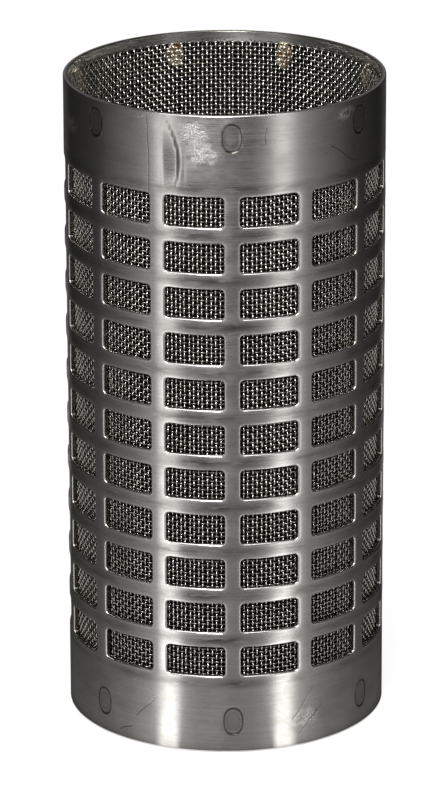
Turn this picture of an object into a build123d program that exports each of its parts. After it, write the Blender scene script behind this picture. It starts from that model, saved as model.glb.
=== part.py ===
from build123d import *
import os
from math import cos, degrees, pi, radians, sin

# Strainer screen: an open tube rolled from one perforated stainless sheet and lined with woven
# wire cloth. Spot welds near both rims hold the cloth to the sheet.
# Millimetres and degrees. +Z runs up the tube's axis and the origin is the centre of its lower
# rim. An angle on the wall is 0 at the front, on -Y, and grows towards +X.

# Sheet, rolled to a tube and butt welded along its length
outside_diameter = 101.6
shell_length = 209.6
sheet_thickness = 1.6
seam_angle = 196.0
seam_gap = 0.8

# Punched windows, in rows up the wall and columns around it
window_width = 19.4
window_height = 10.1
side_bar = 4.6
cross_bar = 4.7
least_end_band = 24.0
least_seam_land = 10.0

# Spot welds: the electrode's mark outside, and the pad of fused wire behind it
weld_width = 5.8
weld_height = 8.6
weld_corner = 2.0
weld_mark_depth = 0.25
top_weld_drop = 7.1
bottom_weld_rise = 10.6
top_weld_angles = (-161.0, -109.0, -52.0, 2.5, 55.0, 113.0, 157.0)
bottom_weld_angles = (-151.0, -101.0, -50.0, 2.5, 58.0, 109.0, 159.0)

# Wire cloth liner: crosswise wires make its wall, and upright wires stand out from it as ridges
wire_diameter = 0.43
liner_clearance = 0.3
liner_setback = 2.5
ridge_count = 50
gap_width = 1.9
lap_angle = 137.0
lap_width = 5.0

# Sheet wall and the places of the windows in it
shell_outer_radius = outside_diameter / 2
shell_inner_radius = shell_outer_radius - sheet_thickness
blank_width = pi * outside_diameter
column_pitch = window_width + side_bar
row_pitch = window_height + cross_bar
window_columns = int((blank_width - least_seam_land + side_bar) / column_pitch)
window_rows = int((shell_length - 2 * least_end_band + cross_bar) / row_pitch)
window_field_height = window_rows * row_pitch - cross_bar
end_band = (shell_length - window_field_height) / 2
row_bases = [end_band + i * row_pitch for i in range(window_rows)]
column_step = degrees(column_pitch / shell_outer_radius)
first_column_angle = seam_angle + (360 - (window_columns - 1) * column_step) / 2

# Cloth wall, from the tops of its ridges inwards
ridge_top_radius = shell_inner_radius - liner_clearance
liner_wall_radius = ridge_top_radius - wire_diameter
liner_inner_radius = liner_wall_radius - wire_diameter
liner_length = shell_length - 2 * liner_setback
ridge_step = 360 / ridge_count

# Height of each row of spot welds with the angles of its welds, and the floor of their marks
weld_mark_radius = shell_outer_radius - weld_mark_depth
weld_rows = {
    "top": (shell_length - top_weld_drop, top_weld_angles),
    "bottom": (bottom_weld_rise, bottom_weld_angles),
}

# How far a cutting shape runs past the wall that it cuts
overrun = 1.0


def from_x_axis(angle):
    """A sketch on the XY plane measures angles from +X, and the tube's wall from its front."""
    return angle - 90


def wall_plane(angle, height, radius):
    """A plane that faces straight out of the wall, with its X axis around and its Y axis up the wall."""
    around = (cos(radians(angle)), sin(radians(angle)), 0)
    outwards = (around[1], -around[0], 0)
    return Plane(origin=(radius * outwards[0], radius * outwards[1], height), x_dir=around, z_dir=outwards)


def ridge_outline():
    """The points round the cloth's outside: a ridge's top, the foot between two ridges, and so on."""
    points = []
    for i in range(2 * ridge_count):
        radius = ridge_top_radius if i % 2 else liner_wall_radius
        angle = radians(from_x_axis(lap_angle + i * ridge_step / 2))
        points.append((radius * cos(angle), radius * sin(angle)))
    return points


# Perforated shell: the rolled sheet, with a gap where its ends meet, its windows in rows, and
# a shallow flat mark in its outer face at each spot weld
with BuildPart() as perforated_shell:
    with BuildSketch():
        Circle(shell_outer_radius)
        Circle(shell_inner_radius, mode=Mode.SUBTRACT)
        with PolarLocations(shell_outer_radius, 1, from_x_axis(seam_angle)):
            Rectangle(4 * sheet_thickness, seam_gap, mode=Mode.SUBTRACT)
    extrude(amount=shell_length)
    with BuildSketch(*[Plane.XY.offset(base) for base in row_bases]):
        with PolarLocations(
            shell_outer_radius,
            window_columns,
            from_x_axis(first_column_angle),
            window_columns * column_step,
            endpoint=False,
        ):
            Rectangle(4 * sheet_thickness, window_width)
    extrude(amount=window_height, mode=Mode.SUBTRACT)
    for height, angles in weld_rows.values():
        with BuildSketch(*[wall_plane(angle, height, weld_mark_radius) for angle in angles]):
            outline = Rectangle(weld_width, weld_height)
            chamfer(outline.vertices(), weld_corner)
        extrude(amount=overrun, mode=Mode.SUBTRACT)

# Seam weld: the filler that closes the sheet's butt joint, dressed flush on both faces
with BuildPart() as seam_weld:
    with BuildSketch():
        Circle(shell_outer_radius)
        Circle(shell_inner_radius, mode=Mode.SUBTRACT)
        with PolarLocations(shell_outer_radius, 1, from_x_axis(seam_angle)):
            Rectangle(4 * sheet_thickness, seam_gap, mode=Mode.INTERSECT)
    extrude(amount=shell_length)


# Spot welds: behind each mark, a pad of fused wire fills the space from the cloth to the sheet
spot_welds = {}
for row, (height, angles) in weld_rows.items():
    for number, angle in enumerate(angles, start=1):
        with BuildPart() as pad:
            with BuildSketch(wall_plane(angle, height, liner_wall_radius - overrun)):
                Rectangle(weld_width, weld_height)
            extrude(amount=shell_inner_radius - liner_wall_radius + 2 * overrun)
            with BuildSketch(Plane.XY.offset(height - weld_height / 2)):
                Circle(shell_inner_radius)
                Circle(liner_wall_radius, mode=Mode.SUBTRACT)
            extrude(amount=weld_height, mode=Mode.INTERSECT)
        spot_welds[f"spot_weld_{row}_{number}"] = pad

# Mesh liner: one wall with ridges, a gap between each two of them up the height of the windows,
# and a plain lap where the cloth's ends are joined. Its ridges are crushed away at the pads.
with BuildPart() as mesh_liner:
    with BuildSketch(Plane.XY.offset(liner_setback)):
        Polygon(*ridge_outline(), align=None)
        with PolarLocations(ridge_top_radius / 2, 1, from_x_axis(lap_angle)):
            Rectangle(ridge_top_radius, lap_width)
        Circle(liner_inner_radius, mode=Mode.SUBTRACT)
    extrude(amount=liner_length)
    with BuildSketch(Plane.XY.offset(end_band)):
        with PolarLocations(
            liner_wall_radius,
            ridge_count - 1,
            from_x_axis(lap_angle + ridge_step),
            360 - ridge_step,
            endpoint=False,
        ):
            Rectangle(4 * wire_diameter, gap_width)
    extrude(amount=window_field_height, mode=Mode.SUBTRACT)
    add([pad.part for pad in spot_welds.values()], mode=Mode.SUBTRACT)

pieces = {
    "perforated_shell": perforated_shell,
    "seam_weld": seam_weld,
    "mesh_liner": mesh_liner,
    **spot_welds,
}
os.makedirs("parts", exist_ok=True)
for name, piece in pieces.items():
    piece.part.label = name
    export_step(piece.part, f"parts/{name}.step")
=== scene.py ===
"""Looks of a strainer screen: a perforated steel tube lined with woven wire cloth.

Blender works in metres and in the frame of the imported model. Sizes named here are in millimetres
unless a name says otherwise. A place on the wall is its distance around the outside from the front,
its height, and its depth below the outer face.
"""

import math

import bpy
import numpy as np
from mathutils import Matrix


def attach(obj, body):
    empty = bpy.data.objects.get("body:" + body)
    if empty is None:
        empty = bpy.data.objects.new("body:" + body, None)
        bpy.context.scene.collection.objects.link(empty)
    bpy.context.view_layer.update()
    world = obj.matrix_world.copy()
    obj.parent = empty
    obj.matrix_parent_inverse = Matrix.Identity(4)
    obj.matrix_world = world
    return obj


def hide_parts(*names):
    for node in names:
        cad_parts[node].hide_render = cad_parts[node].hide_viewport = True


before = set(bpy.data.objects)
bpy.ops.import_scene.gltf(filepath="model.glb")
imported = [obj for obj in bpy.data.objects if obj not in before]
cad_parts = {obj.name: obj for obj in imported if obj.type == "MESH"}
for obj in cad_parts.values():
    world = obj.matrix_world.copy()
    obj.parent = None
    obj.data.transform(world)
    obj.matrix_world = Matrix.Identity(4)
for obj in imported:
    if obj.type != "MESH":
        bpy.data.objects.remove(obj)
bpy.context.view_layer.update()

MM = 0.001

# Sheet
OUTER_RADIUS = 50.8
LENGTH = 209.6
THICKNESS = 1.6
SEAM_ANGLE = 196.0
CIRCUMFERENCE = 2 * math.pi * OUTER_RADIUS

# Windows: the hole itself, the rolled edge round it, and the cell that repeats
COLUMNS = 13
ROWS = 11
CELL_WIDTH = 24.0
CELL_HEIGHT = 14.8
HOLE_WIDTH = 19.05
HOLE_HEIGHT = 9.8
HOLE_CORNER = 1.25
FACE_EDGE = 0.5
BACK_EDGE = 0.2
LIP_REACH = 1.3
LIP_TILT = math.radians(3.5)
FIELD_BASE = (LENGTH - ROWS * CELL_HEIGHT) / 2

# Segments round a window: along its long sides, its short sides and each corner
LONG_SIDE = 10
SHORT_SIDE = 6
CORNER = 4

# Rims
RIM_FACE_EDGE = 0.35
RIM_BACK_EDGE = 0.25
BAND_ROWS = 36

# Spot welds, as on the solids
WELD_WIDTH = 5.8
WELD_HEIGHT = 8.6
WELD_SQUARENESS = 2.3
TOP_WELD_HEIGHT = LENGTH - 7.1
BOTTOM_WELD_HEIGHT = 10.6
TOP_WELD_ANGLES = (-161, -109, -52, 2.5, 55, 113, 157)
BOTTOM_WELD_ANGLES = (-151, -101, -50, 2.5, 58, 109, 159)

# Wire cloth
WIRE = 0.43
UPRIGHT_WIRES = 216
RING_WIRES = 145
WIRE_SIDES = 6
CLOTH_RADIUS = 48.47
CLOTH_SETBACK = 2.5
PIECES_PER_DIRECTION = 2


def random_for(name):
    """A generator that gives the same numbers on every run."""
    return np.random.default_rng(sum(ord(letter) for letter in name))


def around(angle):
    """Distance around the outside from the front, for an angle in degrees."""
    return np.radians(angle) * OUTER_RADIUS


# ---------------------------------------------------------------- shape of the sheet


def soft_bump(distance):
    """1 at distance 0, falling smoothly to 0 by about 2."""
    return np.exp(-(distance**2))


def waviness(s, z):
    """The unevenness that rolling leaves in a sheet."""
    slow = 0.05 * np.sin(s / 23 + 0.7) * np.sin(z / 31 + 0.4)
    quick = 0.018 * np.sin(s / 7.3 + z / 26) + 0.012 * np.sin(z / 5.1 + s / 17 + 1.3)
    return slow + quick


def dent(s, z):
    """An upright crease below the upper rim, where something once struck the sheet."""
    across = s - around(-17.2) + 0.02 * (z - 194) ** 2
    hollow = -0.62 * soft_bump(across / np.where(across < 0, 3.4, 0.9)) * soft_bump((z - 196) / 8)
    fold = -0.06 * soft_bump((s - around(-14.3)) / 0.7) * soft_bump((z - 192) / 4)
    ridge = 0.05 * soft_bump((s - around(-21.8)) / 0.8) * soft_bump((z - 193) / 11)
    return hollow + fold + ridge


def weld_edge_distance(s, z):
    """Signed distance from the nearest spot weld's outline, negative inside it."""
    nearest = np.full(np.shape(s), 9.0)
    for height, angles in ((TOP_WELD_HEIGHT, TOP_WELD_ANGLES), (BOTTOM_WELD_HEIGHT, BOTTOM_WELD_ANGLES)):
        for angle in angles:
            across = np.abs(s - around(angle)) / (WELD_WIDTH / 2)
            upwards = np.abs(z - height) / (WELD_HEIGHT / 2)
            reach = (across**WELD_SQUARENESS + upwards**WELD_SQUARENESS) ** (1 / WELD_SQUARENESS)
            nearest = np.minimum(nearest, (reach - 1) * (WELD_WIDTH + WELD_HEIGHT) / 4)
    return nearest


def weld_sink(s, z):
    """The electrode's shallow mark, with the metal raised a little round it."""
    distance = weld_edge_distance(s, z)
    sunk = -0.16 / (1 + np.exp(distance / 0.22))
    return sunk + 0.05 * soft_bump((distance - 0.55) / 0.5)


def relief(s, z, depth):
    """How far the sheet stands out from its true radius. The dent and the weld marks fade inwards."""
    return waviness(s, z) - 0.09 + (dent(s, z) + weld_sink(s, z)) * (1 - depth / THICKNESS)


def relief_slope(s, z, depth):
    """Slope of the relief around and up the wall."""
    step = 0.05
    slope_s = (relief(s + step, z, depth) - relief(s - step, z, depth)) / (2 * step)
    slope_z = (relief(s, z + step, depth) - relief(s, z - step, depth)) / (2 * step)
    return slope_s, slope_z


# ---------------------------------------------------------------- mesh building


class Surface:
    """Points given on the wall, each with a normal in the wall's own directions, and quads between."""

    def __init__(self):
        self.points = []
        self.normals = []
        self.quads = []
        self.count = 0

    def add_grid(self, s, z, depth, normal, closed=False):
        """Arrays of rows by columns. A closed grid joins its last column to its first."""
        rows, columns = s.shape
        self.points.append(np.stack([s, z, depth], axis=-1).reshape(-1, 3))
        self.normals.append(np.broadcast_to(normal, (rows, columns, 3)).reshape(-1, 3))
        index = self.count + np.arange(rows * columns).reshape(rows, columns)
        if closed:
            index = np.concatenate([index, index[:, :1]], axis=1)
        quads = np.stack([index[:-1, :-1], index[:-1, 1:], index[1:, 1:], index[1:, :-1]], axis=-1)
        self.quads.append(quads.reshape(-1, 4))
        self.count += rows * columns

    def merged(self):
        """All points with those at one place made one."""
        points = np.concatenate(self.points)
        normals = np.concatenate(self.normals)
        quads = np.concatenate(self.quads)
        keys = np.round(points * 1000).astype(np.int64)
        _, first, inverse = np.unique(keys, axis=0, return_index=True, return_inverse=True)
        return points[first], normals[first], inverse.reshape(-1)[quads]


def window_ring(grow):
    """Points round a window's outline, grown outwards, with the direction away from the window."""
    half = (HOLE_WIDTH / 2 + grow, HOLE_HEIGHT / 2 + grow)
    corner = HOLE_CORNER + grow
    centre = (half[0] - corner, half[1] - corner)
    points, directions = [], []
    quarters = ((1, 1, LONG_SIDE), (-1, 1, SHORT_SIDE), (-1, -1, LONG_SIDE), (1, -1, SHORT_SIDE))
    for number, (side_x, side_y, next_side) in enumerate(quarters):
        for i in range(CORNER + 1):
            angle = math.radians(90 * (number + i / CORNER))
            direction = (math.cos(angle), math.sin(angle))
            points.append((side_x * centre[0] + corner * direction[0], side_y * centre[1] + corner * direction[1]))
            directions.append(direction)
        end = quarters[(number + 1) % 4]
        start = points[-1]
        target = (end[0] * centre[0] + corner * directions[-1][0], end[1] * centre[1] + corner * directions[-1][1])
        for i in range(1, next_side):
            share = i / next_side
            points.append((start[0] + share * (target[0] - start[0]), start[1] + share * (target[1] - start[1])))
            directions.append(directions[-1])
    return np.array(points), np.array(directions)


def cell_ring():
    """Points on the border of a window's cell, one for each point of the window's outline."""
    points, directions = window_ring(0)
    half = np.array([CELL_WIDTH / 2, CELL_HEIGHT / 2])
    centre = np.array([HOLE_WIDTH / 2 - HOLE_CORNER, HOLE_HEIGHT / 2 - HOLE_CORNER])
    share = np.minimum(1, np.degrees(np.arctan2(np.abs(directions), np.abs(directions[:, ::-1]))) / 45)
    reached = np.sign(directions) * (centre + (half - centre) * share)
    on_long_side = np.abs(directions[:, 0]) < 1e-6
    on_short_side = np.abs(directions[:, 1]) < 1e-6
    reached[on_long_side, 0] = points[on_long_side, 0]
    reached[on_short_side, 1] = points[on_short_side, 1]
    return reached


def cell_profile():
    """Rings of one cell from the outer face through the window to the inner face."""
    rings = []
    flat = np.zeros_like(window_ring(0)[0])

    def ring(points, directions, depth, tilt):
        """tilt is 0 where the face looks straight out and a right angle on the window's wall."""
        normal = np.concatenate([-directions * math.sin(tilt), np.full((len(points), 1), math.cos(tilt))], axis=1)
        rings.append((points, np.full(len(points), depth), normal))

    ring(cell_ring(), flat, 0, 0)
    points, directions = window_ring(LIP_REACH)
    ring(points, directions, 0, LIP_TILT / 2)
    for turn in (LIP_TILT, math.radians(33), math.radians(62), math.radians(90)):
        points, directions = window_ring(FACE_EDGE * (1 - math.sin(turn)))
        ring(points, directions, 0.02 + FACE_EDGE * (1 - math.cos(turn)), turn)
    points, directions = window_ring(0)
    ring(points, directions, THICKNESS - BACK_EDGE, math.radians(90))
    points, directions = window_ring(BACK_EDGE)
    ring(points, directions, THICKNESS, math.radians(180))
    ring(cell_ring(), flat, THICKNESS, math.radians(180))
    return rings


def rim_profile(end):
    """Depth, height, and normal down one band's outer face, over its rim and back along the inside."""
    depths, heights, normals = [], [], []
    up = 1 if end == "top" else -1
    rim = LENGTH if end == "top" else 0
    inner_end = LENGTH - FIELD_BASE if end == "top" else FIELD_BASE

    def add(depth, height, turn):
        depths.append(depth)
        heights.append(height)
        normals.append((0, up * math.sin(turn), math.cos(turn)))

    for i in range(BAND_ROWS):
        add(0, inner_end + (rim - up * RIM_FACE_EDGE - inner_end) * i / BAND_ROWS, 0)
    for turn in np.radians((0, 22, 45, 68, 90)):
        height = rim - up * RIM_FACE_EDGE * (1 - math.sin(turn))
        add(RIM_FACE_EDGE * (1 - math.cos(turn)), height, turn)
    for turn in np.radians((90, 120, 150, 180)):
        height = rim - up * RIM_BACK_EDGE * (1 - math.sin(turn))
        add(THICKNESS - RIM_BACK_EDGE * (1 + math.cos(turn)), height, turn)
    for share in (0.15, 0.4, 0.7, 1):
        add(THICKNESS, rim + (inner_end - rim) * share, math.radians(180))
    return np.array(depths), np.array(heights), np.array(normals)


def column_middles():
    """Distance around to the middle of each column of windows."""
    land = CIRCUMFERENCE - COLUMNS * CELL_WIDTH
    first = around(SEAM_ANGLE - 360) + land / 2 + CELL_WIDTH / 2
    return first + CELL_WIDTH * np.arange(COLUMNS)


def build_shell():
    surface = Surface()
    middles = column_middles()
    rings = cell_profile()
    for middle in middles:
        for row in range(ROWS):
            base = FIELD_BASE + CELL_HEIGHT * (row + 0.5)
            s = np.stack([points[:, 0] + middle for points, _, _ in rings])
            z = np.stack([points[:, 1] + base for points, _, _ in rings])
            depth = np.stack([depths for _, depths, _ in rings])
            normal = np.stack([normals for _, _, normals in rings])
            surface.add_grid(s, z, depth, normal, closed=True)

    border = cell_ring()
    across = np.unique(np.round(border[np.abs(border[:, 1]) > CELL_HEIGHT / 2 - 1e-6, 0], 6))
    up = np.unique(np.round(border[np.abs(border[:, 0]) > CELL_WIDTH / 2 - 1e-6, 1], 6))
    start = around(SEAM_ANGLE - 360)
    left_land = np.linspace(start, middles[0] - CELL_WIDTH / 2, 5)
    right_land = np.linspace(middles[-1] + CELL_WIDTH / 2, start + CIRCUMFERENCE, 5)
    heights = np.unique(np.round([up + FIELD_BASE + CELL_HEIGHT * (row + 0.5) for row in range(ROWS)], 6))
    for land in (left_land, right_land):
        for depth, facing in ((0, 1), (THICKNESS, -1)):
            s, z = np.meshgrid(land[::facing], heights)
            surface.add_grid(s, z, np.full(s.shape, float(depth)), (0, 0, facing))

    coarse = np.concatenate([across + middle for middle in middles])
    columns = np.unique(np.round(np.concatenate([left_land, coarse, right_land]), 6))
    columns = columns[np.insert(np.diff(columns) > 1e-4, 0, True)]
    columns = np.sort(np.concatenate([columns, (columns[1:] + columns[:-1]) / 2]))
    for end in ("top", "bottom"):
        depths, profile, normals = rim_profile(end)
        facing = 1 if end == "top" else -1
        s, z = np.meshgrid(columns[::facing], profile)
        depth = np.repeat(depths[:, None], len(columns), axis=1)
        surface.add_grid(s, z, depth, normals[:, None, :])
    return surface


def place_on_wall(points, normals):
    """World places and normals in metres, for points on the sheet with its relief."""
    s, z, depth = points[:, 0], points[:, 1], points[:, 2]
    slope_s, slope_z = relief_slope(s, z, depth)
    tilted = np.stack(
        [normals[:, 0] - slope_s * normals[:, 2], normals[:, 1] - slope_z * normals[:, 2], normals[:, 2]], axis=1
    )
    tilted /= np.linalg.norm(tilted, axis=1)[:, None]
    angle = s / OUTER_RADIUS
    radius = OUTER_RADIUS - depth + relief(s, z, depth)
    place = np.stack([radius * np.sin(angle), -radius * np.cos(angle), z], axis=1) * MM
    forwards = np.stack([np.cos(angle), np.sin(angle), np.zeros_like(angle)], axis=1)
    outwards = np.stack([np.sin(angle), -np.cos(angle), np.zeros_like(angle)], axis=1)
    world = forwards * tilted[:, :1] + outwards * tilted[:, 2:]
    world[:, 2] = tilted[:, 1]
    return place, world


def new_object(name, places, quads, normals=None, wall=None, fields=None):
    """A smooth-shaded mesh object. wall gives each point's place on the wall, for the UV map."""
    mesh = bpy.data.meshes.new(name)
    mesh.vertices.add(len(places))
    mesh.vertices.foreach_set("co", np.asarray(places, dtype=np.float32).reshape(-1))
    mesh.loops.add(quads.size)
    mesh.loops.foreach_set("vertex_index", quads.reshape(-1).astype(np.int32))
    mesh.polygons.add(len(quads))
    mesh.polygons.foreach_set("loop_start", np.arange(0, quads.size, 4, dtype=np.int32))
    mesh.update(calc_edges=True)
    mesh.validate()
    if wall is not None:
        layer = mesh.uv_layers.new(name="wall")
        corners = np.empty(len(mesh.loops), dtype=np.int32)
        mesh.loops.foreach_get("vertex_index", corners)
        layer.data.foreach_set("uv", (wall[corners] / 100).astype(np.float32).reshape(-1))
    for field, values in (fields or {}).items():
        attribute = mesh.attributes.new(field, "FLOAT", "POINT")
        attribute.data.foreach_set("value", np.asarray(values, dtype=np.float32))
    mesh.polygons.foreach_set("use_smooth", np.ones(len(mesh.polygons), dtype=bool))
    if normals is not None:
        mesh.normals_split_custom_set_from_vertices(normals)
    mesh.update()
    piece = bpy.data.objects.new(name, mesh)
    bpy.context.scene.collection.objects.link(piece)
    return piece


# ---------------------------------------------------------------- marks of use on the sheet

# Each scratch: angle and height of its ends
SCRATCHES = (
    (-27.3, 176.0, -27.9, 208.0),
    (14.0, 200.0, 14.4, 205.5),
    (24.0, 9.0, 33.0, 19.0),
    (27.0, 4.0, 37.0, 13.0),
    (-35.0, 8.5, -26.0, 17.0),
    (-42.0, 3.0, -36.0, 5.5),
    (40.0, 197.0, 52.0, 190.0),
    (150.0, 12.0, 166.0, 19.0),
    (-120.0, 190.0, -104.0, 196.0),
    (95.0, 6.0, 112.0, 15.0),
)

# Each rubbed patch: angle, height, and its reach around and up
RUBBED = (
    (-11.0, 203.5, 5.2, 4.6),
    (-7.5, 197.0, 5.2, 4.2),
    (48.0, 206.0, 5.0, 2.2),
    (31.0, 9.5, 5.0, 3.5),
    (-70.0, 198.0, 5.0, 3.0),
    (120.0, 14.0, 5.0, 3.5),
    (-140.0, 202.0, 5.0, 2.5),
    (171.0, 14.0, 4.0, 3.0),
)


def scratch_distance(s, z):
    """Distance from the nearest scratch, with a sign that tells its two sides apart."""
    nearest = np.full(s.shape, 9.0)
    for angle_a, height_a, angle_b, height_b in SCRATCHES:
        start = np.array([around(angle_a), height_a])
        along = np.array([around(angle_b), height_b]) - start
        length = np.hypot(*along)
        share = ((s - start[0]) * along[0] + (z - start[1]) * along[1]) / length**2
        aside = ((s - start[0]) * along[1] - (z - start[1]) * along[0]) / length
        aside = aside - 0.18 * np.sin(share * 7 + angle_a)
        closer = (share > 0) & (share < 1) & (np.abs(aside) < np.abs(nearest))
        nearest = np.where(closer, aside, nearest)
    return nearest


def rubbed_share(s, z):
    """1 in the middle of a rubbed patch."""
    share = np.zeros(s.shape)
    for angle, height, reach_s, reach_z in RUBBED:
        share = np.maximum(share, soft_bump(np.hypot((s - around(angle)) / reach_s, (z - height) / reach_z)))
    return share


def bar_shade_share(s, z):
    """1 on the painted shade that runs along the bars between two rows of windows, patchy and strongest at the
    front.
    """
    row = (z - FIELD_BASE) / CELL_HEIGHT
    from_bar = np.abs(row - np.round(row)) * CELL_HEIGHT
    patchy = 0.65 + 0.3 * np.sin(s / 6.1 + 1.7 * np.round(row)) + 0.25 * np.sin(s / 2.9 + 2.3 * np.round(row))
    front = 0.45 + 0.55 * soft_bump((s + 5) / 14)
    in_field = (row > -0.1) & (row < ROWS + 0.1)
    return np.clip(patchy, 0, 1) * front * soft_bump(from_bar / 1.35) * in_field


def heat_share(s, z):
    """1 beside the seam, where welding tinted the sheet."""
    from_seam = np.minimum(s - around(SEAM_ANGLE - 360), around(SEAM_ANGLE) - s)
    return np.clip(1 - from_seam / 7, 0, 1)


# ---------------------------------------------------------------- materials


class Nodes:
    """Short ways to add shader nodes. An input may be a number, a colour or another node's output."""

    def __init__(self, name):
        self.material = bpy.data.materials.new(name)
        self.material.use_nodes = True
        self.tree = self.material.node_tree
        self.shader = self.tree.nodes["Principled BSDF"]
        self.output = self.tree.nodes["Material Output"]

    def put(self, node, key, value):
        if isinstance(value, bpy.types.NodeSocket):
            self.tree.links.new(value, node.inputs[key])
        else:
            node.inputs[key].default_value = value

    def add(self, kind, settings=None, **inputs):
        node = self.tree.nodes.new(kind)
        for key, value in (settings or {}).items():
            setattr(node, key, value)
        for key, value in inputs.items():
            self.put(node, key.replace("_", " "), value)
        return node

    def math(self, operation, *values):
        node = self.tree.nodes.new("ShaderNodeMath")
        node.operation = operation
        for i, value in enumerate(values):
            self.put(node, i, value)
        return node.outputs[0]

    def vector(self, operation, *values):
        node = self.tree.nodes.new("ShaderNodeVectorMath")
        node.operation = operation
        for i, value in enumerate(values):
            self.put(node, i, value)
        return node.outputs[0]

    def field(self, name):
        return self.add("ShaderNodeAttribute", {"attribute_name": name}).outputs["Fac"]

    def remap(self, value, low, high, to_low=0.0, to_high=1.0):
        node = self.add("ShaderNodeMapRange", {"interpolation_type": "SMOOTHSTEP"})
        for key, number in (("Value", value), ("From Min", low), ("From Max", high)):
            self.put(node, key, number)
        node.inputs["To Min"].default_value = to_low
        node.inputs["To Max"].default_value = to_high
        return node.outputs[0]

    def between(self, share, first, second):
        node = self.tree.nodes.new("ShaderNodeMix")
        for key, value in ((0, share), (2, first), (3, second)):
            self.put(node, key, value)
        return node.outputs[0]

    def blend(self, share, first, second):
        node = self.add("ShaderNodeMix", {"data_type": "RGBA"})
        for key, value in ((0, share), (6, first), (7, second)):
            self.put(node, key, value)
        return node.outputs[2]

    def wall_noise(self, length, height, detail=3.0, roughness=0.55, offset=0.0):
        """Noise on the unrolled wall, with grains of the given length around and height up."""
        uv = self.add("ShaderNodeUVMap", {"uv_map": "wall"}).outputs[0]
        mapping = self.add("ShaderNodeMapping", Vector=uv)
        mapping.inputs["Location"].default_value = (offset, 2 * offset, 0)
        mapping.inputs["Scale"].default_value = (100 / length, 100 / height, 1)
        noise = self.add("ShaderNodeTexNoise", Vector=mapping.outputs[0], Detail=detail, Roughness=roughness)
        noise.inputs["Scale"].default_value = 1
        return noise.outputs["Fac"]

    def space_noise(self, grain, detail=3.0):
        """Noise in space, with grains of the given size."""
        place = self.add("ShaderNodeTexCoord").outputs["Object"]
        return self.add("ShaderNodeTexNoise", Vector=place, Scale=1000 / grain, Detail=detail).outputs["Fac"]

    def bump(self, height, depth, normal=None):
        """depth is in millimetres."""
        node = self.add("ShaderNodeBump", Height=height)
        node.inputs["Distance"].default_value = depth * MM
        if normal is not None:
            self.put(node, "Normal", normal)
        return node.outputs[0]


STEEL_LIGHT = (0.6, 0.59, 0.575, 1)
STEEL_DARK = (0.48, 0.47, 0.455, 1)
STEEL_WORN = (0.66, 0.655, 0.64, 1)
BAR_SHADE = (0.12, 0.115, 0.105, 1)
WELD_OUTLINE = (0.06, 0.05, 0.03, 1)
WELD_FACE = (0.4, 0.38, 0.33, 1)
CROSSING_SHADE = (0.035, 0.03, 0.025, 1)


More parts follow.
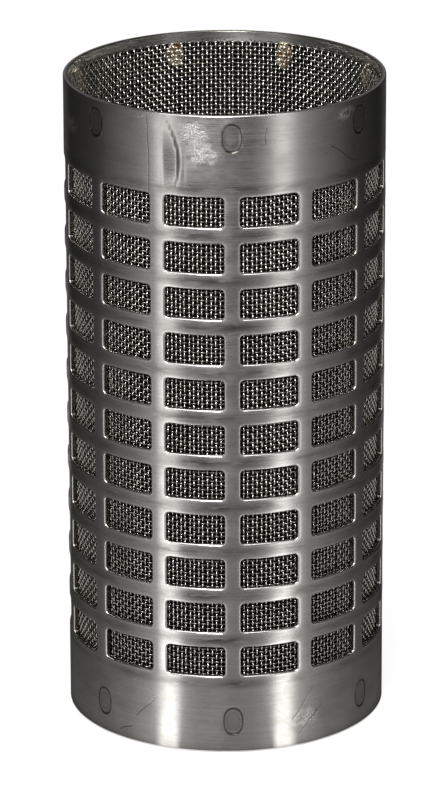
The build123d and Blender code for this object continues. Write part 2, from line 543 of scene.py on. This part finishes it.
def shell_steel():
    n = Nodes("shell_steel")
    brushing = n.wall_noise(22, 0.16, detail=4)
    streaks = n.wall_noise(60, 1.1, detail=5, offset=3.1)
    clouds = n.wall_noise(13, 8, detail=4, roughness=0.6, offset=7.7)
    grit = n.wall_noise(0.5, 0.42, detail=4, roughness=0.75, offset=1.9)
    weld = n.field("weld")
    scratch = n.math("ABSOLUTE", n.field("scratch"))
    rubbed = n.math("MULTIPLY", n.field("rubbed"), n.remap(n.wall_noise(4, 2.5, offset=6.1), 0.3, 0.6, 0.35, 1))
    heat = n.field("heat")
    bar_shade_mask = n.field("bar_shade")
    lip_highlight = n.field("lip_highlight")
    punched_wall_shade = n.field("punched_wall_shade")

    # Colour: pale steel with greyer clouds, painted shade along the bars between rows, brown film in the weld
    # outlines, straw tint at the seam, a painted highlight on the window edges and painted shade on the punched
    # walls
    colour = n.blend(n.remap(clouds, 0.3, 0.8), STEEL_LIGHT, STEEL_DARK)
    colour = n.blend(n.remap(streaks, 0.4, 0.75, 0, 0.5), colour, STEEL_WORN)
    # Painted shade: grey patches along the bars between rows of windows, strongest at the front.
    bar_shade = n.math("MULTIPLY", bar_shade_mask, n.remap(n.wall_noise(6, 1.3, detail=5, offset=5.3), 0.34, 0.54, 0.15, 1))
    colour = n.blend(bar_shade, colour, BAR_SHADE)
    inside = n.remap(weld, -0.6, 0.0, 0.4, 0)
    colour = n.blend(inside, colour, WELD_FACE)
    outline = n.remap(n.math("ABSOLUTE", n.math("SUBTRACT", weld, 0.1)), 0.05, 0.5, 0.9, 0)
    colour = n.blend(outline, colour, WELD_OUTLINE)
    inner_mark = n.remap(n.math("ABSOLUTE", n.math("ADD", weld, 1.25)), 0.0, 0.25, 0.3, 0)
    colour = n.blend(inner_mark, colour, WELD_OUTLINE)
    tint = n.math("MULTIPLY", heat, n.remap(n.wall_noise(9, 14, offset=9.1), 0.25, 0.7))
    colour = n.blend(n.math("MULTIPLY", tint, 0.55), colour, (0.45, 0.33, 0.18, 1))
    sparkle = n.math("MULTIPLY", n.remap(grit, 0.45, 0.6), n.remap(rubbed, 0.1, 0.7, 0, 0.5))
    colour = n.blend(sparkle, colour, (0.95, 0.94, 0.92, 1))
    crack = n.remap(scratch, 0.04, 0.2, 0.8, 0)
    colour = n.blend(crack, colour, (0.06, 0.055, 0.05, 1))
    # Painted highlight: the rolled edge round each window is painted paler.
    colour = n.blend(n.remap(lip_highlight, 0.1, 0.9, 0, 0.4), colour, (0.92, 0.91, 0.89, 1))
    # Painted shade: the punched wall inside each window is painted near black.
    colour = n.blend(n.remap(punched_wall_shade, 0.3, 1, 0, 0.9), colour, (0.1, 0.09, 0.065, 1))
    n.put(n.shader, "Base Color", colour)

    rough = n.remap(brushing, 0.25, 0.75, 0.22, 0.35)
    rough = n.math("ADD", rough, n.remap(clouds, 0.35, 0.75, -0.03, 0.07))
    n.put(n.shader, "Roughness", n.math("ADD", rough, n.math("MULTIPLY", rubbed, 0.1)))

    normal = n.bump(brushing, 0.016)
    normal = n.bump(streaks, 0.012, normal)
    normal = n.bump(n.math("MULTIPLY", grit, n.remap(rubbed, 0.15, 0.8)), 0.25, normal)
    groove = n.remap(n.math("ABSOLUTE", weld), 0.0, 0.35, -1, 0)
    normal = n.bump(groove, 0.08, normal)
    normal = n.bump(n.remap(scratch, 0.0, 0.25, -1, 0), 0.04, normal)
    n.put(n.shader, "Normal", normal)

    tangent = n.add("ShaderNodeTangent", {"direction_type": "RADIAL", "axis": "Z"})
    n.put(n.shader, "Tangent", tangent.outputs[0])
    n.shader.inputs["Metallic"].default_value = 1
    n.shader.inputs["Anisotropic"].default_value = 0.75
    n.shader.inputs["Anisotropic Rotation"].default_value = 0.25
    return n.material


def cloth_wire(name, upright, light, dark, unshaded_from):
    """Bright wire with painted shade where it dips behind another. Its normal tilts along it as it rises and dips.
    """
    n = Nodes(name)
    patch = n.space_noise(9, detail=3)
    fine = n.space_noise(0.6, detail=2)
    colour = n.blend(n.remap(patch, 0.35, 0.7), light, dark)
    colour = n.blend(n.remap(fine, 0.55, 0.75, 0, 0.4), colour, (0.45, 0.41, 0.36, 1))
    n.put(n.shader, "Roughness", n.remap(fine, 0.3, 0.7, 0.14, 0.26))

    pitch = 2 * math.pi * CLOTH_RADIUS / UPRIGHT_WIRES
    phase = n.field("phase")
    slope = n.math("MULTIPLY", n.math("SINE", phase), WIRE * 0.65 * math.pi / pitch)
    place = n.add("ShaderNodeTexCoord").outputs["Object"]
    level = n.vector("MULTIPLY", place, (1, 1, 0))
    outwards = n.vector("NORMALIZE", level)
    along = (0, 0, 1) if upright else n.vector("CROSS_PRODUCT", (0, 0, 1), outwards)
    normal = n.add("ShaderNodeNewGeometry").outputs["Normal"]
    facing = n.add("ShaderNodeVectorMath", {"operation": "DOT_PRODUCT"})
    n.put(facing, 0, normal)
    n.put(facing, 1, outwards)
    crest = n.math("MULTIPLY", n.math("COSINE", phase), facing.outputs["Value"])
    # Painted shade: the wire is darkened where it dips behind the wire that crosses it.
    n.put(n.shader, "Base Color", n.blend(n.remap(crest, unshaded_from - 0.7, unshaded_from, 0.88, 0), colour, CROSSING_SHADE))
    tilt = n.add("ShaderNodeVectorMath", {"operation": "SCALE"}, Scale=n.math("MULTIPLY", slope, facing.outputs["Value"]))
    n.put(tilt, 0, along)
    crimped = n.vector("NORMALIZE", n.vector("ADD", normal, tilt.outputs[0]))
    n.put(n.shader, "Normal", n.bump(fine, 0.015, crimped))
    n.shader.inputs["Metallic"].default_value = 1
    return n.material


def fused_metal(name, light, dark, grain):
    """Metal that was melted: bright grains among brown oxide."""
    n = Nodes(name)
    grains = n.space_noise(grain, detail=4)
    patches = n.space_noise(6 * grain, detail=2)
    colour = n.blend(n.remap(patches, 0.35, 0.65), light, dark)
    n.put(n.shader, "Base Color", colour)
    n.put(n.shader, "Roughness", n.remap(grains, 0.3, 0.7, 0.2, 0.45))
    n.put(n.shader, "Normal", n.bump(grains, 0.25))
    n.shader.inputs["Metallic"].default_value = 1
    return n.material


# ---------------------------------------------------------------- pieces


def finish_piece(piece, material, slot, *nodes):
    piece.data.materials.append(material)
    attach(piece, "root")
    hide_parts(*nodes)


def make_shell(material):
    points, normals, quads = build_shell().merged()
    places, world = place_on_wall(points, normals)
    s, z, depth = points.T
    fields = {
        "weld": np.where(depth < THICKNESS / 2, weld_edge_distance(s, z), 9.0),
        "scratch": scratch_distance(s, z),
        "rubbed": rubbed_share(s, z),
        "heat": heat_share(s, z),
        "bar_shade": bar_shade_share(s, z),
        "lip_highlight": (depth > 0.015) & (depth < 0.4),
        "punched_wall_shade": (depth > 0.4) & (depth < THICKNESS - 0.01),
    }
    piece = new_object("shell", places, quads, world, points[:, :2], fields)
    finish_piece(piece, material, "shell_steel", "perforated_shell")


def tube_quads(rings, sides, closed):
    """Quads of a tube whose points come ring by ring."""
    index = np.arange(rings * sides).reshape(rings, sides)
    following = np.roll(index, -1, axis=0) if closed else index[1:]
    index = index if closed else index[:-1]
    turned = np.roll(index, -1, axis=1)
    following_turned = np.roll(following, -1, axis=1)
    return np.stack([index, turned, following_turned, following], axis=-1).reshape(-1, 4)


def cloth_places(angle, height, offset):
    """World places of points on the cloth, for an offset outwards from its middle."""
    radius = CLOTH_RADIUS + offset
    return np.stack([radius * np.sin(angle), -radius * np.cos(angle), height], axis=-1) * MM


def wire_grid():
    """Angles of the upright wires and heights of the ring wires, a little uneven as weaving leaves them."""
    rng = random_for("cloth")
    pitch = 2 * math.pi / UPRIGHT_WIRES
    angles = pitch * (np.arange(UPRIGHT_WIRES) + 0.06 * rng.standard_normal(UPRIGHT_WIRES))
    step = (LENGTH - 2 * CLOTH_SETBACK - 1.6) / (RING_WIRES - 1)
    heights = CLOTH_SETBACK + 0.8 + step * (np.arange(RING_WIRES) + 0.05 * rng.standard_normal(RING_WIRES))
    return angles, heights, pitch, step


def make_uprights(material):
    angles, heights, pitch, step = wire_grid()
    rng = random_for("ends")
    turn = 2 * math.pi * np.arange(WIRE_SIDES) / WIRE_SIDES
    share = len(angles) // PIECES_PER_DIRECTION
    for part in range(PIECES_PER_DIRECTION):
        places, phases, quads = [], [], []
        for wire in range(part * share, (part + 1) * share):
            z = heights.copy()
            z[0] = CLOTH_SETBACK + rng.uniform(0, 0.5)
            z[-1] = LENGTH - CLOTH_SETBACK - rng.uniform(0, 0.6)
            drift = 0.0012 * np.sin(z / 19 + wire * 0.31)
            side = 1 - 2 * ((np.arange(RING_WIRES) + wire) % 2)
            offset = side * WIRE / 2
            around_wire = np.cos(turn)[None, :] * WIRE / 2 / CLOTH_RADIUS
            angle = (angles[wire] + drift)[:, None] + around_wire
            out = offset[:, None] + np.sin(turn)[None, :] * WIRE / 2
            height = np.repeat(z[:, None], WIRE_SIDES, axis=1)
            count = len(places) * RING_WIRES * WIRE_SIDES
            places.append(cloth_places(angle, height, out).reshape(-1, 3))
            phases.append(np.repeat(np.arange(RING_WIRES) + wire % 2, WIRE_SIDES))
            quads.append(tube_quads(RING_WIRES, WIRE_SIDES, False) + count)
        fields = {"phase": math.pi * np.concatenate(phases)}
        piece = new_object(f"upright_wires_{part + 1}", np.concatenate(places), np.concatenate(quads), fields=fields)
        finish_piece(piece, material, "mesh_wire", "mesh_liner")


def make_rings(material):
    angles, heights, pitch, step = wire_grid()
    turn = 2 * math.pi * np.arange(WIRE_SIDES) / WIRE_SIDES
    bounds = np.linspace(0, RING_WIRES, PIECES_PER_DIRECTION + 1).astype(int)
    for part in range(PIECES_PER_DIRECTION):
        places, phases, quads = [], [], []
        for ring in range(bounds[part], bounds[part + 1]):
            drift = 0.06 * np.sin(angles * 5 + ring * 0.23)
            side = 2 * ((np.arange(UPRIGHT_WIRES) + ring) % 2) - 1
            offset = side * WIRE / 2
            height = (heights[ring] + drift)[:, None] + np.cos(turn)[None, :] * WIRE / 2
            out = offset[:, None] + np.sin(turn)[None, :] * WIRE / 2
            angle = np.repeat(angles[:, None], WIRE_SIDES, axis=1)
            count = len(places) * UPRIGHT_WIRES * WIRE_SIDES
            places.append(cloth_places(angle, height, out).reshape(-1, 3))
            phases.append(np.repeat(np.arange(UPRIGHT_WIRES) + ring % 2 + 1, WIRE_SIDES))
            quads.append(tube_quads(UPRIGHT_WIRES, WIRE_SIDES, True)[:, ::-1] + count)
        fields = {"phase": math.pi * np.concatenate(phases)}
        piece = new_object(f"ring_wires_{part + 1}", np.concatenate(places), np.concatenate(quads), fields=fields)
        finish_piece(piece, material, "mesh_wire", "mesh_liner")


def make_seam(material):
    """The weld bead along the seam, crowned and rippled outside and inside."""
    across = np.linspace(-1, 1, 13)
    heights = np.linspace(0.15, LENGTH - 0.15, 420)
    half_width = 1.5
    places = []
    for z in heights:
        ripple = np.sin((z + 0.6 * across**2) * 2 * math.pi / 0.95)
        crown = (1 - across**2) * (0.16 + 0.035 * ripple) - 0.13
        outer = OUTER_RADIUS + crown
        inner = OUTER_RADIUS - THICKNESS - 0.7 * crown[::-1]
        s = around(SEAM_ANGLE) + across * half_width * (1 + 0.05 * math.sin(z / 3.3))
        angle = np.concatenate([s, s[::-1]]) / OUTER_RADIUS
        radius = np.concatenate([outer, inner])
        places.append(np.stack([radius * np.sin(angle), -radius * np.cos(angle), np.full(26, z)], axis=1) * MM)
    quads = tube_quads(len(heights), 26, False)[:, ::-1]
    piece = new_object("seam_bead", np.concatenate(places), quads)
    finish_piece(piece, material, "weld_metal", "seam_weld")


def make_pads(material):
    """Behind each mark the cloth is crushed and fused to the sheet in a rough oval."""
    for row, height, angles in (
        ("top", TOP_WELD_HEIGHT, TOP_WELD_ANGLES),
        ("bottom", BOTTOM_WELD_HEIGHT, BOTTOM_WELD_ANGLES),
    ):
        for number, angle in enumerate(angles, start=1):
            make_pad(material, f"{row}_{number}", math.radians(angle), height)


def make_pad(material, name, angle, height):
    rng = random_for(name)
    rings, spokes = 16, 48
    turn = 2 * math.pi * np.arange(spokes) / spokes
    share = np.linspace(0.02, 1, rings)
    lumps = rng.uniform(0, 2 * math.pi, 4)
    outline = 1 + 0.06 * np.sin(2 * turn + lumps[0]) + 0.05 * np.sin(3 * turn + lumps[1]) + 0.04 * np.sin(7 * turn)
    x = share[:, None] * outline * np.cos(turn) * WELD_WIDTH / 2
    y = share[:, None] * outline * np.sin(turn) * WELD_HEIGHT / 2
    weave = 0.5 + 0.25 * np.sin(x * 4.45 + lumps[2]) + 0.25 * np.sin(y * 4.45 + lumps[3])
    crush = WIRE * (0.55 + 0.5 * weave) + 0.05 * rng.standard_normal(x.shape)
    inwards = np.where(share[:, None] < 0.97, crush, -0.3)
    radius = CLOTH_RADIUS + 0.25 - inwards
    direction = angle + x / CLOTH_RADIUS
    front = np.stack([radius * np.sin(direction), -radius * np.cos(direction), height + y], axis=-1)
    radius = np.full(x.shape, OUTER_RADIUS - THICKNESS - 0.12)
    back = np.stack([radius * np.sin(direction), -radius * np.cos(direction), height + y], axis=-1)
    shape = np.concatenate([front, back[::-1]]).reshape(-1, 3) * MM
    piece = new_object(f"fused_pad_{name}", shape, tube_quads(2 * rings, spokes, False))
    finish_piece(piece, material, "weld_metal", f"spot_weld_{name}")


# ---------------------------------------------------------------- floor, light and camera

# Light that the wall meets round about it: bearing from the front, then brightness of the floor
# cards near the object, of those far from it, and of the upright cards
SURROUND = (
    (0, 0.2, 0.05, 0.03),
    (20, 0.28, 0.09, 0.05),
    (34, 0.45, 0.3, 0.3),
    (38, 2.2, 0.9, 1.7),
    (46, 2.2, 0.9, 1.7),
    (51, 0.52, 0.4, 0.35),
    (70, 0.26, 0.22, 0.1),
    (100, 0.13, 0.04, 0.02),
    (145, 0.04, 0.01, 0.01),
    (155, 0.4, 0.06, 0.02),
    (168, 0.45, 0.08, 0.05),
    (173, 1.3, 0.8, 0.15),
    (180, 1.6, 1.2, 0.2),
)
BEARING_CENTRE = -0.53 * OUTER_RADIUS * MM
CARD_REACH = 1.0
CARD_TOP = 0.8
SKYLIGHT = 0.18
ROOF_LIGHT = 0.08


def make_floor():
    size = 6
    corners = np.array([(-size, -size, 0), (size, -size, 0), (size, size, 0), (-size, size, 0)], dtype=float)
    floor = new_object("floor", corners, np.array([[0, 1, 2, 3]]))
    n = Nodes("floor_paper")
    speckle = n.space_noise(3, detail=2)
    n.put(n.shader, "Base Color", n.blend(n.remap(speckle, 0.3, 0.7), (0.93, 0.93, 0.93, 1), (0.9, 0.9, 0.9, 1)))
    n.shader.inputs["Roughness"].default_value = 1
    path = n.add("ShaderNodeLightPath")
    seen = n.math("MAXIMUM", path.outputs["Is Camera Ray"], path.outputs["Is Glossy Ray"])
    seen = n.math("MAXIMUM", seen, path.outputs["Is Transmission Ray"])
    white = n.add("ShaderNodeEmission", Strength=1.0)
    white.inputs["Color"].default_value = (1, 1, 1, 1)
    mixed = n.add("ShaderNodeMixShader", Fac=n.math("MULTIPLY", seen, 0.8))
    n.tree.links.new(n.shader.outputs[0], mixed.inputs[1])
    n.tree.links.new(white.outputs[0], mixed.inputs[2])
    n.tree.links.new(mixed.outputs[0], n.output.inputs["Surface"])
    floor.data.materials.append(n.material)


def light_curve(n, bearing, kind):
    """One kind of card's brightness, straight from point to point, for a bearing as a share of a half turn."""
    node = n.add("ShaderNodeFloatCurve", Value=bearing)
    curve = node.mapping.curves[0]
    brightest = max(card[kind] for card in SURROUND)
    while len(curve.points) < len(SURROUND):
        curve.points.new(0.5, 0.5)
    for point, card in zip(curve.points, SURROUND):
        point.location = (card[0] / 180, card[kind] / brightest)
        point.handle_type = "VECTOR"
    node.mapping.update()
    return n.math("MULTIPLY", node.outputs[0], brightest)


def make_cards():
    """Grey cards and softboxes round the object, which only its metal sees."""
    sides = 144
    angle = 2 * math.pi * np.arange(sides) / sides
    low = np.linspace(0.001, CARD_REACH, 12)
    high = np.linspace(0.05, CARD_TOP, 6)
    roof = np.linspace(CARD_REACH, SKYLIGHT, 6)
    radius = np.concatenate([low, np.full(len(high), CARD_REACH), roof[1:]])
    height = np.concatenate([np.full(len(low), 0.0006), high, np.full(len(roof) - 1, CARD_TOP + 0.1)])
    places = [
        np.stack([r * np.sin(angle), -r * np.cos(angle), np.full(sides, h)], axis=1) for r, h in zip(radius, height)
    ]
    cards = new_object("studio_cards", np.concatenate(places), tube_quads(len(radius), sides, False))
    n = Nodes("card_light")
    place = n.add("ShaderNodeSeparateXYZ", Vector=n.add("ShaderNodeTexCoord").outputs["Object"])
    x, y = place.outputs[0], place.outputs[1]
    forward = n.math("SUBTRACT", BEARING_CENTRE, y)
    bearing = n.math("DIVIDE", n.math("ABSOLUTE", n.math("ARCTAN2", x, forward)), math.pi)
    near, far, upright = [light_curve(n, bearing, kind) for kind in (1, 2, 3)]
    reach = n.math("SQRT", n.math("ADD", n.math("MULTIPLY", x, x), n.math("MULTIPLY", y, y)))
    farness = n.add("ShaderNodeMapRange", Value=reach)
    for key, number in (("From Min", 0.1), ("From Max", 0.65)):
        farness.inputs[key].default_value = number
    strength = n.between(farness.outputs[0], near, far)
    strength = n.between(n.remap(place.outputs[2], 0.01, 0.2), strength, upright)
    strength = n.between(n.remap(place.outputs[2], 0.5, CARD_TOP), strength, ROOF_LIGHT)
    # Painted shade: the floor card is dark under the tube, where the tube's inside sees it.
    shade_under_tube = n.remap(reach, 0.046, 0.056)
    strength = n.math("MULTIPLY", strength, shade_under_tube)
    glow = n.add("ShaderNodeEmission", Strength=strength)
    glow.inputs["Color"].default_value = (1, 0.985, 0.96, 1)
    n.tree.links.new(glow.outputs[0], n.output.inputs["Surface"])
    n.tree.nodes.remove(n.shader)
    cards.data.materials.append(n.material)
    cards.visible_camera = False
    cards.visible_shadow = False
    cards.visible_diffuse = False


def make_sleeves():
    """Black sheets on both sides of the cloth, painted shade that stands in for the dark behind it. Each is seen
    only through the cloth, which it sets off.
    """
    outer = OUTER_RADIUS - THICKNESS - 0.16
    inner = CLOTH_RADIUS - WIRE - 0.3
    top = LENGTH - CLOTH_SETBACK - 1
    make_sleeve("shade_sleeve_outer", ((1, 1), (outer, 1), (outer, top)))
    make_sleeve("shade_sleeve_inner", ((inner, top), (inner, 1)))


def make_sleeve(name, outline):
    sides = 120
    angle = 2 * math.pi * np.arange(sides) / sides
    places = [np.stack([r * np.sin(angle), -r * np.cos(angle), np.full(sides, z)], axis=1) * MM for r, z in outline]
    sleeve = new_object(name, np.concatenate(places), tube_quads(len(outline), sides, False))
    # Painted shade: black on the back of each face and clear on its front.
    n = Nodes("painted_shade_sleeve")
    n.shader.inputs["Base Color"].default_value = (0.004, 0.004, 0.004, 1)
    n.shader.inputs["Roughness"].default_value = 1
    n.shader.inputs["Specular IOR Level"].default_value = 0
    clear = n.add("ShaderNodeBsdfTransparent")
    mixed = n.add("ShaderNodeMixShader", Fac=n.add("ShaderNodeNewGeometry").outputs["Backfacing"])
    n.tree.links.new(clear.outputs[0], mixed.inputs[1])
    n.tree.links.new(n.shader.outputs[0], mixed.inputs[2])
    n.tree.links.new(mixed.outputs[0], n.output.inputs["Surface"])
    sleeve.data.materials.append(n.material)
    sleeve.visible_glossy = False
    sleeve.visible_diffuse = False
    sleeve.visible_shadow = False


def make_world():
    world = bpy.data.worlds.new("studio")
    world.use_nodes = True
    background = world.node_tree.nodes["Background"]
    background.inputs["Color"].default_value = (1, 1, 1, 1)
    background.inputs["Strength"].default_value = 1.0
    bpy.context.scene.world = world


def make_lamp(name, bearing, distance, height, size, power):
    """A soft lamp that faces the object's middle."""
    data = bpy.data.lights.new(name, "AREA")
    data.shape = "RECTANGLE"
    data.size, data.size_y = size
    data.energy = power
    lamp = bpy.data.objects.new(name, data)
    angle = math.radians(bearing)
    lamp.location = (distance * math.sin(angle), -distance * math.cos(angle), height)
    aim = Matrix.Translation((0, 0, LENGTH * MM / 2)).translation - lamp.location
    lamp.rotation_euler = aim.to_track_quat("-Z", "Y").to_euler()
    bpy.context.scene.collection.objects.link(lamp)


def make_camera():
    """The photograph's own view, found from the rims and the rows of windows."""
    pitch, yaw, roll = 0.3335, -0.0007, -0.003
    forwards = np.array([math.sin(yaw) * math.cos(pitch), math.cos(yaw) * math.cos(pitch), -math.sin(pitch)])
    right = np.array([math.cos(yaw), -math.sin(yaw), 0])
    up = np.cross(right, forwards)
    rolled_right = right * math.cos(roll) + up * math.sin(roll)
    rolled_up = up * math.cos(roll) - right * math.sin(roll)
    matrix = Matrix.Identity(4)
    for column, axis in enumerate((rolled_right, rolled_up, -forwards, (0, -1.5827, 0.6491))):
        for row in range(3):
            matrix[row][column] = axis[row]
    data = bpy.data.cameras.new("camera")
    data.sensor_width = 36
    data.lens = 235.5
    data.clip_end = 50
    camera = bpy.data.objects.new("camera", data)
    camera.matrix_world = matrix
    bpy.context.scene.collection.objects.link(camera)
    bpy.context.scene.camera = camera


make_shell(shell_steel())
make_uprights(cloth_wire("upright_wire", True, (0.96, 0.94, 0.89, 1), (0.86, 0.83, 0.77, 1), 0.3))
# The ring wires are a darker copy of the upright wire, and the painted crossing shade reaches further along them:
# painted shade.
make_rings(cloth_wire("ring_wire", False, (0.56, 0.54, 0.49, 1), (0.38, 0.36, 0.33, 1), 0.6))
make_seam(fused_metal("seam_metal", (0.62, 0.56, 0.46, 1), (0.4, 0.33, 0.26, 1), 0.8))
make_pads(fused_metal("pad_metal", (0.88, 0.8, 0.62, 1), (0.3, 0.19, 0.1, 1), 0.55))
make_floor()
make_cards()
make_sleeves()
make_world()
make_lamp("top_light", -5, 0.24, 0.78, (0.7, 0.3), 3)
make_lamp("key_light", -8, 0.6, 0.64, (0.22, 0.34), 4.8)
make_camera()
bpy.context.scene.view_settings.view_transform = "Standard"
